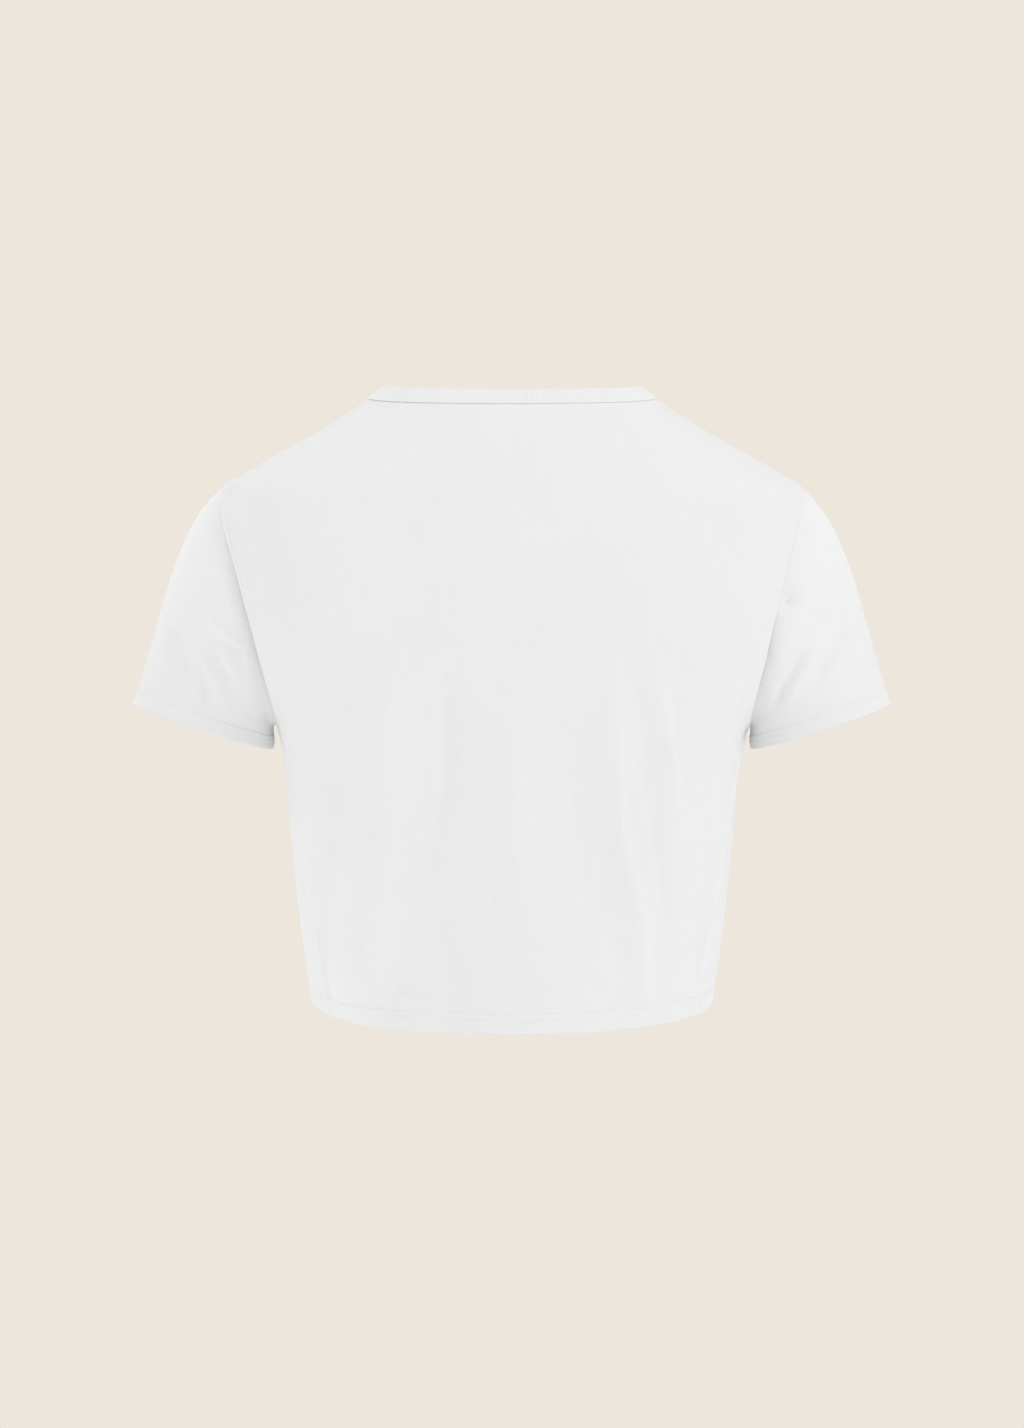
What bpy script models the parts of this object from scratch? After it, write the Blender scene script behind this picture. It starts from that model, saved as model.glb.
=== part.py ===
"""Crop top: a short-sleeved jersey top with a narrow rib neckband, filled out as it is when worn.

Metres, +Z up. The origin lies midway between the two points where the shoulder seams meet the
neckband. The front faces -Y and the wearer's left is +X.

The panels are patches of one body form, a stack of rounded level sections. A place on the form is
an angle and a height: the angle is 0 at the widest point of the side, 90 degrees at the middle of
the back and -90 degrees at the middle of the front.
"""

import bpy
import numpy as np

# Cloth walls.
CLOTH = 0.0012
HEM_CLOTH = 0.0020
BAND_CLOTH = 0.0018
SEAM_GAP = 0.0003

# The hem: its height at the sides, and how far it drops at the back and rises at the front.
HEM_Z = -0.4040
HEM_TILT = 0.0040

# Turned edges: their heights, and the short rise over which the wall thins to one layer.
BODY_HEM = 0.0120
SLEEVE_HEM = 0.0095
HEM_STEP = 0.0015

# Body form, one row a level section, from the hem to the neck.
FORM_COLUMNS = ("height", "half_width", "back", "front", "square")
FORM = (
    (-0.4080, 0.1340, 0.1060, 0.1090, 0.010),
    (-0.3750, 0.1390, 0.1045, 0.1115, 0.020),
    (-0.3250, 0.1448, 0.1055, 0.1155, 0.030),
    (-0.2750, 0.1492, 0.1075, 0.1190, 0.035),
    (-0.2350, 0.1530, 0.1085, 0.1205, 0.040),
    (-0.2165, 0.1566, 0.1085, 0.1200, 0.045),
    (-0.1935, 0.1652, 0.1080, 0.1185, 0.050),
    (-0.1650, 0.1772, 0.1065, 0.1145, 0.050),
    (-0.1380, 0.1858, 0.1035, 0.1080, 0.050),
    (-0.1050, 0.1918, 0.0972, 0.0975, 0.050),
    (-0.0850, 0.1948, 0.0918, 0.0895, 0.047),
    (-0.0700, 0.1948, 0.0872, 0.0835, 0.043),
    (-0.0595, 0.1922, 0.0838, 0.0790, 0.040),
    (-0.0460, 0.1708, 0.0785, 0.0725, 0.035),
    (-0.0180, 0.1212, 0.0640, 0.0560, 0.030),
    (0.0000, 0.0940, 0.0530, 0.0420, 0.030),
)

# Armhole, an egg drawn on the side view, its full end up. It leans, so that its lowest point lies
# further back than its top.
ARMHOLE_Z = -0.1380
ARMHOLE_Y = 0.0015
ARMHOLE_HALF_HIGH = 0.0785
ARMHOLE_HALF_DEEP = 0.0550
ARMHOLE_LEAN = -0.120
ARMHOLE_ROUND_ABOVE = 0.70
ARMHOLE_ROUND_BELOW = 1.15

# Side seam: it starts under the arm and swings towards the back on its way to the hem.
SIDE_SEAM_SWING = np.radians(22)
SIDE_SEAM_REACH = 0.060

# Neckline and its band.
NECK_BACK_DROP = 0.0025
NECK_FRONT_DROP = 0.0850
BAND_WIDTH = 0.0120
BAND_RISE_BACK = np.radians(46)
BAND_RISE_FRONT = np.radians(60)

# Sleeve opening: an oval ring square to the arm, which hangs a little away from the body.
CUFF_MIDDLE = np.array((0.2068, 0.0, -0.2190))
ARM_FROM_VERTICAL = np.radians(18)
CUFF_HALF_WIDE = 0.0482
CUFF_HALF_DEEP = 0.0400
CUFF_TILT = np.radians(3)

# How the sleeve leaves the armhole, round the half loop from the shoulder to the side seam:
# the angle on the loop, the slope below level, the lean towards the back or front, and the
# share of the length over which it holds that direction.
SLEEVE_START_COLUMNS = ("loop", "slope", "lean", "hold")
SLEEVE_START = (
    (0, 38, 0.00, 0.26),
    (45, 50, 0.18, 0.26),
    (90, 55, 0.10, 0.30),
    (135, 26, 0.00, 0.30),
    (180, -20, 0.00, 0.34),
)
SLEEVE_END_HOLD = 0.45

# Largest folds. Each runs through a top, a middle and a low point, given by distance from the
# middle line and height. Its lift is above zero on a ridge and below zero in a trough.
FOLD_COLUMNS = ("top_x", "top_z", "mid_x", "mid_z", "low_x", "low_z", "width", "lift")
BACK_FOLDS = (
    (0.043, -0.165, 0.043, -0.220, 0.045, -0.290, 0.008, -0.0014),
    (0.068, -0.190, 0.077, -0.310, 0.095, -0.370, 0.016, 0.0016),
    (0.094, -0.185, 0.107, -0.300, 0.114, -0.405, 0.010, -0.0018),
    (0.014, -0.190, 0.014, -0.225, 0.016, -0.280, 0.007, -0.0008),
    (-0.006, -0.240, -0.022, -0.335, -0.047, -0.400, 0.016, 0.0012),
    (-0.047, -0.205, -0.050, -0.290, -0.066, -0.375, 0.013, -0.0014),
    (-0.070, -0.175, -0.080, -0.280, -0.093, -0.408, 0.008, 0.0018),
    (-0.083, -0.160, -0.096, -0.230, -0.104, -0.310, 0.008, -0.0018),
    (-0.099, -0.175, -0.109, -0.225, -0.113, -0.285, 0.006, 0.0014),
)
FRONT_FOLDS = (
    (0.088, -0.150, 0.072, -0.230, 0.060, -0.330, 0.013, -0.0018),
    (0.104, -0.175, 0.094, -0.270, 0.090, -0.400, 0.012, 0.0018),
    (0.030, -0.215, 0.034, -0.300, 0.041, -0.408, 0.014, -0.0014),
    (0.006, -0.240, 0.004, -0.320, 0.000, -0.400, 0.014, 0.0012),
    (-0.032, -0.205, -0.034, -0.290, -0.044, -0.400, 0.013, -0.0016),
    (-0.091, -0.150, -0.078, -0.240, -0.070, -0.350, 0.013, 0.0018),
    (-0.106, -0.170, -0.102, -0.270, -0.100, -0.400, 0.011, -0.0018),
)
FOLD_FADE_AT_SEAM = 0.020

# Sleeve folds run down the sleeve at an angle on the loop, over a stretch of its length.
SLEEVE_FOLD_COLUMNS = ("start_loop", "start", "end_loop", "end", "width", "lift")
LEFT_SLEEVE_FOLDS = (
    (60, 0.30, 105, 0.80, 9, -0.0016),
    (42, 0.40, 80, 0.92, 9, -0.0014),
    (80, 0.35, 120, 0.85, 9, 0.0016),
    (-50, 0.30, -100, 0.85, 10, -0.0016),
)
RIGHT_SLEEVE_FOLDS = (
    (35, 0.30, 80, 0.85, 9, 0.0018),
    (50, 0.30, 95, 0.85, 9, -0.0018),
    (22, 0.40, 58, 0.85, 8, -0.0014),
    (-40, 0.30, -90, 0.85, 10, 0.0016),
)

# Mesh counts.
SIDE_ROWS = 11
ARMHOLE_ROWS = 14
NECK_COLUMNS = 10
SHOULDER_COLUMNS = 8
SLEEVE_ROWS = 8
BAND_ROWS = 2

# Steps of the fine lines that the coarser grids are read from, and halvings of a search.
CURVE_STEPS = 240
HALVINGS = 40

# Pieces that run all the way round, and the distance within which two seam points are one.
CLOSED = ("sleeve_left", "sleeve_right", "neckband")
SAME_POINT = 0.00001

WHITE = (0.85, 0.85, 0.85, 1.0)
ROUGHNESS = 0.9
SHARP_FROM = np.radians(50)


def clear_scene():
    for item in list(bpy.data.objects):
        bpy.data.objects.remove(item, do_unlink=True)


def column(table, columns, name):
    return np.array([row[columns.index(name)] for row in table], float)


def smooth_between(knots, values, places):
    """A smooth curve through the values at the knots, read at the places."""
    slopes = np.gradient(values, knots)
    index = np.clip(np.searchsorted(knots, places) - 1, 0, len(knots) - 2)
    step = knots[index + 1] - knots[index]
    t = (places - knots[index]) / step
    start = values[index] * (1 + 2 * t) * (1 - t) ** 2 + slopes[index] * step * t * (1 - t) ** 2
    end = values[index + 1] * t**2 * (3 - 2 * t) + slopes[index + 1] * step * t**2 * (t - 1)
    return start + end


def form_value(name, height):
    return smooth_between(
        column(FORM, FORM_COLUMNS, "height"), column(FORM, FORM_COLUMNS, name), height
    )


def form_point(angle, height):
    """The points of the body form on the +X side, at these angles and heights."""
    square = form_value("square", height)
    wide = (np.cos(angle) - square * np.cos(3 * angle)) / (1 - square)
    deep = (np.sin(angle) + square * np.sin(3 * angle)) / (1 - square)
    depth = np.where(deep > 0, form_value("back", height), form_value("front", height))
    return np.stack([form_value("half_width", height) * wide, depth * deep, height], axis=-1)


def angle_where(axis, wanted, height, low, high):
    """The angle, between low and high, at which the form's coordinate on this axis is as wanted."""
    low = np.full(np.shape(wanted), low)
    high = np.full(np.shape(wanted), high)
    for _ in range(HALVINGS):
        middle = (low + high) / 2
        below = form_point(middle, height)[..., axis] < wanted
        low = np.where(below, middle, low)
        high = np.where(below, high, middle)
    return (low + high) / 2


def unit(vectors):
    return vectors / np.linalg.norm(vectors, axis=-1, keepdims=True)


def armhole_edge(side):
    """Angles and heights up one half of the armhole. The side is 1 for the back, -1 for the front."""
    loop = np.linspace(np.pi, 0, ARMHOLE_ROWS + 1)
    height = ARMHOLE_Z + ARMHOLE_HALF_HIGH * np.cos(loop)
    roundness = np.where(height > ARMHOLE_Z, ARMHOLE_ROUND_ABOVE, ARMHOLE_ROUND_BELOW)
    reach = side * ARMHOLE_HALF_DEEP * abs(np.sin(loop)) ** roundness
    depth = ARMHOLE_Y + ARMHOLE_LEAN * (height - ARMHOLE_Z) + reach
    return np.stack([angle_where(1, depth, height, -np.pi / 2, np.pi / 2), height], axis=-1)


def hem_height(angle):
    return HEM_Z - HEM_TILT * np.sin(angle)


def hem_heights(bottom, top, rows):
    """Heights from a turned edge upwards: its foot, its top, the thinning, then even rows."""
    plain = np.linspace(bottom + BODY_HEM + HEM_STEP, top, rows - 1)
    return np.concatenate([[bottom, bottom + BODY_HEM], plain])


def outer_edge(side):
    """Angles and heights from the hem up the side seam and then up the armhole."""
    armhole = armhole_edge(side)
    seam_foot = armhole[0, 0] + SIDE_SEAM_SWING
    height = hem_heights(hem_height(seam_foot), armhole[0, 1], SIDE_ROWS)
    swing = 1 - np.exp(-(armhole[0, 1] - height) / SIDE_SEAM_REACH)
    seam = np.stack([armhole[0, 0] + SIDE_SEAM_SWING * swing, height], axis=-1)
    return np.concatenate([seam, armhole[1:]])


def evenly_spaced(line, count):
    """The line of angles and heights, with its points an even distance apart on the form."""
    steps = np.linalg.norm(np.diff(form_point(line[:, 0], line[:, 1]), axis=0), axis=-1)
    walked = np.concatenate([[0], np.cumsum(steps)])
    wanted = np.linspace(0, walked[-1], count)
    return np.stack([np.interp(wanted, walked, line[:, axis]) for axis in (0, 1)], axis=-1)


def top_edge(side):
    """Angles and heights from the middle of the neckline to the shoulder's end."""
    shoulder_angle, tip = armhole_edge(side)[-1]
    turn = np.linspace(np.pi / 2, 0, CURVE_STEPS)
    if side > 0:
        angle = shoulder_angle + (np.pi / 2 - shoulder_angle) * turn / (np.pi / 2)
        height = -NECK_BACK_DROP * np.sin(turn)
    else:
        neck_side = form_point(shoulder_angle, np.array(0.0))[0]
        height = -NECK_FRONT_DROP * np.sin(turn)
        angle = angle_where(0, neck_side * np.cos(turn), height, -np.pi / 2, 0.0)
        angle[-1] = shoulder_angle
    neck = evenly_spaced(np.stack([angle, height], axis=-1), NECK_COLUMNS + 1)
    down = np.linspace(0, tip, SHOULDER_COLUMNS + 1)[1:]
    shoulder = np.stack([np.full(len(down), shoulder_angle), down], axis=-1)
    return np.concatenate([neck, shoulder])


def panel_patch(side):
    """Angles and heights over half a panel: rows from hem to top, columns from middle to edge."""
    outer = outer_edge(side)
    top = top_edge(side)
    middle_height = hem_heights(hem_height(side * np.pi / 2), top[0, 1], len(outer) - 1)
    middle = np.stack([np.full(len(outer), side * np.pi / 2), middle_height], axis=-1)
    across = np.linspace(0, 1, len(top))[None, :, None]
    bottom = (1 - across[0]) * middle[0] + across[0] * outer[0]
    bottom[1:-1, 1] = hem_height(bottom[1:-1, 0])
    rise = (middle_height - middle_height[0]) / (middle_height[-1] - middle_height[0])
    rise = (rise**2)[:, None, None]
    between_ends = (1 - rise) * bottom[None] + rise * top[None]
    between_sides = (1 - across) * middle[:, None] + across * outer[:, None]
    corner_middle = (1 - rise) * bottom[0] + rise * top[0]
    corner_outer = (1 - rise) * bottom[-1] + rise * top[-1]
    return between_ends + between_sides - (1 - across) * corner_middle - across * corner_outer


def grid_normals(points, closed=False):
    """Unit normals of a grid of points, on the side that its rows and columns turn to."""
    along = np.gradient(points, axis=0)
    if closed:
        around = np.roll(points, -1, axis=1) - np.roll(points, 1, axis=1)
    else:
        around = np.gradient(points, axis=1)
    return unit(np.cross(around, along))


def fold_lift(folds, x, z):
    """How far the folds raise the cloth at these distances from the middle line and heights.

    A fold rises and dies away along its length. One that reaches the turned hem stays at its full
    lift there."""
    lift = np.zeros_like(x)
    for row in folds:
        fold = dict(zip(FOLD_COLUMNS, row))
        heights = (fold["top_z"], fold["mid_z"], fold["low_z"])
        line = np.polyfit(heights, (fold["top_x"], fold["mid_x"], fold["low_x"]), 2)
        share = np.clip((fold["top_z"] - z) / (fold["top_z"] - fold["low_z"]), 0, 1)
        if fold["low_z"] < HEM_Z + BODY_HEM:
            share = np.minimum(share, 0.5)
        across = (x - np.polyval(line, z)) / fold["width"]
        lift += fold["lift"] * np.sin(np.pi * share) * np.exp(-(across**2))
    return lift


def seam_fade(points, edges):
    """Zero on the seams in edges and one from a short way inside them."""
    nearest = np.full(points.shape[:2], np.inf)
    for edge in edges:
        apart = np.linalg.norm(points[:, :, None, :] - edge[None, None], axis=-1)
        nearest = np.minimum(nearest, apart.min(axis=-1))
    share = np.clip(nearest / FOLD_FADE_AT_SEAM, 0, 1)
    return share * share * (3 - 2 * share)


def panel_points(side, folds):
    """The middle surface of a whole panel, from the wearer's right edge to the left edge."""
    patch = panel_patch(side)
    half = form_point(patch[..., 0], patch[..., 1])
    mirrored = half[:, :0:-1] * (-1, 1, 1)
    points = np.concatenate([mirrored, half], axis=1)
    outward = grid_normals(points) * -side
    fade = seam_fade(points, [points[:, 0], points[:, -1], points[-1]])
    lift = fold_lift(folds, points[..., 0], points[..., 2]) * fade
    return points + outward * lift[..., None]


def sleeve_loop(front, back):
    """The armhole loop on the +X side: from the shoulder down the back, and up the front."""
    down_back = back[SIDE_ROWS:, -1][::-1]
    up_front = front[SIDE_ROWS:, -1]
    return np.concatenate([down_back, up_front[1:-1]])


def sleeve_distances(lengths):
    """Distances from the cuff, a row for each ring, a column for each line down the sleeve."""
    rest = np.linspace(1, 0, SLEEVE_ROWS)[:, None] * (lengths - SLEEVE_HEM - HEM_STEP)
    rings = rest + SLEEVE_HEM + HEM_STEP
    hem = np.array([[SLEEVE_HEM], [0.0]]) * np.ones_like(lengths)
    return np.concatenate([rings, hem])


def loop_degrees(count):
    """Degrees round the armhole loop, 0 at the shoulder, above zero on the back."""
    degrees = np.arange(count) * 360 / count
    return np.where(degrees > 180, degrees - 360, degrees)


def sleeve_points(loop, folds):
    """The middle surface of the +X sleeve: rings from the armhole to the cuff."""
    degrees = loop_degrees(len(loop))
    turn = np.radians(degrees)
    arm = np.array((np.sin(ARM_FROM_VERTICAL), 0, -np.cos(ARM_FROM_VERTICAL)))
    outward = np.array((np.cos(ARM_FROM_VERTICAL), 0, np.sin(ARM_FROM_VERTICAL)))
    backward = np.cos(CUFF_TILT) * np.array((0, 1, 0)) - np.sin(CUFF_TILT) * arm
    cuff = (
        CUFF_MIDDLE
        + CUFF_HALF_WIDE * np.cos(turn)[:, None] * outward
        + CUFF_HALF_DEEP * np.sin(turn)[:, None] * backward
    )
    knots = column(SLEEVE_START, SLEEVE_START_COLUMNS, "loop")
    slope, lean, hold = (
        smooth_between(knots, column(SLEEVE_START, SLEEVE_START_COLUMNS, name), abs(degrees))
        for name in ("slope", "lean", "hold")
    )
    slope = np.radians(slope)
    leave = unit(np.stack([np.cos(slope), np.sign(turn) * lean, -np.sin(slope)], axis=-1))
    chord = np.linalg.norm(cuff - loop, axis=-1)[:, None]
    after_start = loop + leave * chord * hold[:, None]
    before_end = cuff - arm * chord * SLEEVE_END_HOLD
    t = np.linspace(0, 1, CURVE_STEPS)[:, None, None]
    lines = (
        (1 - t) ** 3 * loop
        + 3 * (1 - t) ** 2 * t * after_start
        + 3 * (1 - t) * t**2 * before_end
        + t**3 * cuff
    )
    steps = np.linalg.norm(np.diff(lines, axis=0), axis=-1)
    walked = np.concatenate([np.zeros((1, len(loop))), np.cumsum(steps, axis=0)])
    wanted = walked[-1] - sleeve_distances(walked[-1])
    points = np.empty((len(wanted), len(loop), 3))
    for line in range(len(loop)):
        for axis in range(3):
            points[:, line, axis] = np.interp(
                wanted[:, line], walked[:, line], lines[:, line, axis]
            )
    lift = sleeve_fold_lift(folds, degrees, wanted / walked[-1])
    return points - grid_normals(points, closed=True) * lift[..., None]


def sleeve_fold_lift(folds, degrees, share):
    """How far the folds raise the sleeve at these angles on the loop and shares of its length."""
    lift = np.zeros_like(share)
    for row in folds:
        fold = dict(zip(SLEEVE_FOLD_COLUMNS, row))
        along = np.clip((share - fold["start"]) / (fold["end"] - fold["start"]), 0, 1)
        centre = fold["start_loop"] + (fold["end_loop"] - fold["start_loop"]) * along
        across = (degrees - centre) / fold["width"]
        lift += fold["lift"] * np.sin(np.pi * along) * np.exp(-(across**2))
    return lift


def neck_loop(front, back):
    """The neck seam loop, from the middle back by the wearer's left to the front and round."""
    middle = NECK_COLUMNS + SHOULDER_COLUMNS
    back_half = back[-1, middle : middle + NECK_COLUMNS + 1]
    front_half = front[-1, middle : middle + NECK_COLUMNS + 1][::-1]
    left = np.concatenate([back_half, front_half[1:]])
    return np.concatenate([left, left[-2:0:-1] * (-1, 1, 1)])


def band_points(loop):
    """The middle surface of the neckband: rings from the seam to its open edge."""
    tangent = unit(np.roll(loop, -1, axis=0) - np.roll(loop, 1, axis=0))
    level_in = unit(np.stack([tangent[:, 1], -tangent[:, 0], 0 * tangent[:, 0]], axis=-1))
    level_in *= -np.sign((level_in * loop).sum(axis=-1, keepdims=True))
    front_share = np.clip(-loop[:, 1:2] / abs(loop[:, 1].min()), 0, 1)
    rise = BAND_RISE_BACK + (BAND_RISE_FRONT - BAND_RISE_BACK) * front_share
    lean = np.cos(rise) * level_in + np.sin(rise) * np.array((0, 0, 1))
    steps = np.linspace(0, BAND_WIDTH, BAND_ROWS + 1)
    return loop[None] + steps[:, None, None] * lean[None]


def share_normals(pieces, normals):
    """Where the edges of pieces meet, give them all one direction through the cloth.

    Returns the piece, row and column of every point that meets another piece."""
    members = [
        (name, row, col)
        for name, points in pieces.items()
        for row, col in np.ndindex(points.shape[:2])
        if on_edge(name, points, row, col)
    ]
    places = np.array([pieces[name][row, col] for name, row, col in members])
    apart = np.linalg.norm(places[:, None] - places[None], axis=-1)
    sewn = set()
    for near in apart < SAME_POINT:
        meeting = [members[index] for index in np.flatnonzero(near)]
        if len(meeting) == 1 or meeting[0] in sewn:
            continue
        shared = unit(sum(normals[name][row, col] for name, row, col in meeting))
        for name, row, col in meeting:
            normals[name][row, col] = shared
        sewn.update(meeting)
    return sewn


def on_edge(name, points, row, col):
    rows, columns = points.shape[:2]
    return row in (0, rows - 1) or (name not in CLOSED and col in (0, columns - 1))


def open_seams(name, points, normals, sewn):
    """Draw the sewn edges back by half the seam gap, square to the seam and in the cloth."""
    rows, columns = points.shape[:2]
    moved = points.copy()
    edges = [("row", 0, 1), ("row", rows - 1, -1)]
    if name not in CLOSED:
        edges += [("column", 0, 1), ("column", columns - 1, -1)]
    for kind, index, inward in edges:
        cut = (index, slice(None)) if kind == "row" else (slice(None), index)
        inner = (index + inward, slice(None)) if kind == "row" else (slice(None), index + inward)
        line = points[cut]
        if name in CLOSED:
            tangent = np.roll(line, -1, axis=0) - np.roll(line, 1, axis=0)
        else:
            tangent = np.gradient(line, axis=0)
        across = unit(np.cross(tangent, normals[cut]))
        across *= np.sign(((points[inner] - line) * across).sum(axis=-1, keepdims=True))
        for place in range(len(line)):
            row, col = (index, place) if kind == "row" else (place, index)
            if (name, row, col) in sewn and edge_is_sewn(name, kind, index):
                moved[row, col] += across[place] * SEAM_GAP / 2
    return moved


def edge_is_sewn(name, kind, index):
    """Hems, cuffs and the band's top stay where they are; every other edge is a seam."""
    if name in CLOSED:
        return index == 0
    return kind == "column" or index > 0


def half_wall(name, points):
    """Half the wall's thickness at every point. The two edge rows of a turned hem are thicker."""
    thick = np.full(points.shape[:2] + (1,), BAND_CLOTH if name == "neckband" else CLOTH)
    if name in ("front", "back"):
        thick[:2] = HEM_CLOTH
    elif name != "neckband":
        thick[-2:] = HEM_CLOTH
    return thick / 2


def rim_faces(vertices, start_near, end_near, end_far, start_far):
    """Two triangles across the wall's edge. The split starts at the lower point, so that the two
    pieces that meet at a seam have parallel faces there."""
    if vertices[start_near][2] < vertices[end_near][2]:
        return [[start_near, end_near, end_far], [start_near, end_far, start_far]]
    return [[start_near, end_near, start_far], [end_near, end_far, start_far]]


def wall_object(name, points, normals, outward):
    """A closed wall round the middle surface, as one object."""
    rows, columns = points.shape[:2]
    closed = name in CLOSED
    half = half_wall(name, points)
    near = points + normals * half * outward
    far = points - normals * half * outward
    vertices = np.concatenate([near.reshape(-1, 3), far.reshape(-1, 3)])
    layer = rows * columns
    faces = []
    last = columns if closed else columns - 1

    def corner(row, col, side):
        return row * columns + col % columns + side * layer

    for row in range(rows - 1):
        for col in range(last):
            ring = [(row, col), (row, col + 1), (row + 1, col + 1), (row + 1, col)]
            faces.append([corner(r, c, 0) for r, c in ring])
            faces.append([corner(r, c, 1) for r, c in reversed(ring)])
    rim = []
    for col in range(last):
        rim += [((0, col + 1), (0, col)), ((rows - 1, col), (rows - 1, col + 1))]
    if not closed:
        for row in range(rows - 1):
            rim += [((row, 0), (row + 1, 0)), ((row + 1, columns - 1), (row, columns - 1))]
    for start, end in rim:
        faces += rim_faces(
            vertices, corner(*start, 0), corner(*end, 0), corner(*end, 1), corner(*start, 1)
        )
    if outward < 0:
        faces = [face[::-1] for face in faces]
    mesh = bpy.data.meshes.new(name)
    mesh.from_pydata(vertices.tolist(), [], faces)
    mesh.shade_smooth()
    mesh.set_sharp_from_angle(angle=SHARP_FROM)
    wall = bpy.data.objects.new(name, mesh)
    bpy.context.scene.collection.objects.link(wall)
    return wall


def cloth_material(name):
    material = bpy.data.materials.new(name)
    material.use_nodes = True
    shader = material.node_tree.nodes["Principled BSDF"]
    shader.inputs["Base Color"].default_value = WHITE
    shader.inputs["Roughness"].default_value = ROUGHNESS
    shader.inputs["Metallic"].default_value = 0.0
    return material


def build_top():
    back = panel_points(1, BACK_FOLDS)
    front = panel_points(-1, FRONT_FOLDS)
    loop = sleeve_loop(front, back)
    right = sleeve_points(loop, RIGHT_SLEEVE_FOLDS) * (-1, 1, 1)
    pieces = {
        "back": back,
        "front": front,
        "sleeve_left": sleeve_points(loop, LEFT_SLEEVE_FOLDS),
        "sleeve_right": right,
        "neckband": band_points(neck_loop(front, back)),
    }
    # The sign that turns each grid's normals outwards.
    turns = {"back": -1, "front": 1, "sleeve_left": -1, "sleeve_right": 1, "neckband": -1}
    normals = {
        name: grid_normals(points, name in CLOSED) * turns[name]
        for name, points in pieces.items()
    }
    sewn = share_normals(pieces, normals)
    jersey = cloth_material("jersey")
    rib = cloth_material("rib")
    for name, points in pieces.items():
        apart = open_seams(name, points, normals[name], sewn)
        wall = wall_object(name, apart, normals[name] * turns[name], turns[name])
        wall.data.materials.append(rib if name == "neckband" else jersey)


clear_scene()
build_top()
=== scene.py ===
# White jersey crop top, dressed over its CAD frame.
import math

import bpy
import numpy as np
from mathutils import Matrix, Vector


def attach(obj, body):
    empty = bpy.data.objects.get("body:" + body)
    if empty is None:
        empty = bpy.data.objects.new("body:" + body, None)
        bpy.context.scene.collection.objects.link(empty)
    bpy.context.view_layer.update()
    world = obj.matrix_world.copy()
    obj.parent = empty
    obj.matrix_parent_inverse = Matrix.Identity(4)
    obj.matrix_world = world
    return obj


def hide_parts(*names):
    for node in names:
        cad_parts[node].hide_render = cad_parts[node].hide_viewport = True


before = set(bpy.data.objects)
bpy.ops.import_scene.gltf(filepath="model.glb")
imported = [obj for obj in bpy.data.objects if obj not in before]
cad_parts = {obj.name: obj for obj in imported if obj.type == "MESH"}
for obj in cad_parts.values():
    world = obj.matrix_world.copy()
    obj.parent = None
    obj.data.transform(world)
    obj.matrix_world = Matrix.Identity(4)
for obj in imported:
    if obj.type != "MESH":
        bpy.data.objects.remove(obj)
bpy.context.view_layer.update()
print("frame loaded")


bodyForm = {
    # height, half width, depth to the back, depth to the front, squareness
    "sections": (
        (-0.4080, 0.1340, 0.1060, 0.1090, 0.010),
        (-0.3750, 0.1390, 0.1045, 0.1115, 0.020),
        (-0.3250, 0.1448, 0.1055, 0.1155, 0.030),
        (-0.2750, 0.1492, 0.1075, 0.1190, 0.035),
        (-0.2350, 0.1530, 0.1085, 0.1205, 0.040),
        (-0.2165, 0.1566, 0.1085, 0.1200, 0.045),
        (-0.1935, 0.1652, 0.1080, 0.1185, 0.050),
        (-0.1650, 0.1772, 0.1065, 0.1145, 0.050),
        (-0.1380, 0.1858, 0.1035, 0.1080, 0.050),
        (-0.1050, 0.1918, 0.0972, 0.0975, 0.050),
        (-0.0850, 0.1948, 0.0918, 0.0895, 0.047),
        (-0.0700, 0.1948, 0.0872, 0.0835, 0.043),
        (-0.0595, 0.1922, 0.0838, 0.0790, 0.040),
        (-0.0460, 0.1708, 0.0785, 0.0725, 0.035),
        (-0.0180, 0.1212, 0.0640, 0.0560, 0.030),
        (0.0000, 0.0940, 0.0530, 0.0420, 0.030),
    ),
    "hemHeight": -0.4040,
    "hemTilt": 0.0040,  # lower at the back, higher at the front
    "sideSeamSwing": math.radians(22),  # towards the back
    "sideSeamReach": 0.060,
}

armholeCut = {
    "height": -0.1380,
    "depth": 0.0015,
    "halfHigh": 0.0785,
    "halfDeep": 0.0550,
    "lean": -0.120,
    "roundAbove": 0.70,
    "roundBelow": 1.15,
}

necklineCut = {"backDrop": 0.0025, "frontDrop": 0.0850, "steps": 400}


def unit(vectors):
    return vectors / np.linalg.norm(vectors, axis=-1, keepdims=True)


def softStep(x):
    x = np.clip(x, 0, 1)
    return x * x * (3 - 2 * x)


def hump(away, width):
    return np.exp(-((away / width) ** 2))


def smoothCurve(knots, values, places):
    slopes = np.gradient(values, knots)
    index = np.clip(np.searchsorted(knots, places) - 1, 0, len(knots) - 2)
    step = knots[index + 1] - knots[index]
    t = (places - knots[index]) / step
    start = values[index] * (1 + 2 * t) * (1 - t) ** 2 + slopes[index] * step * t * (1 - t) ** 2
    end = values[index + 1] * t**2 * (3 - 2 * t) + slopes[index + 1] * step * t**2 * (t - 1)
    return start + end


def readTable(rows, places, smooth=False):
    # the other columns of a table, at places along its first column
    table = np.array(rows, float).T
    if smooth:
        return [smoothCurve(table[0], column, places) for column in table[1:]]
    return [np.interp(places, table[0], column) for column in table[1:]]


def walkAlong(line):
    # distance walked from the start of a line of points
    steps = np.linalg.norm(np.diff(line, axis=0), axis=-1)
    return np.concatenate([[0], np.cumsum(steps)])


def readAlong(values, walked, places):
    # values that change along a line, read at other distances along it
    return np.stack([np.interp(places, walked, column) for column in values.T], axis=-1)


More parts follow.
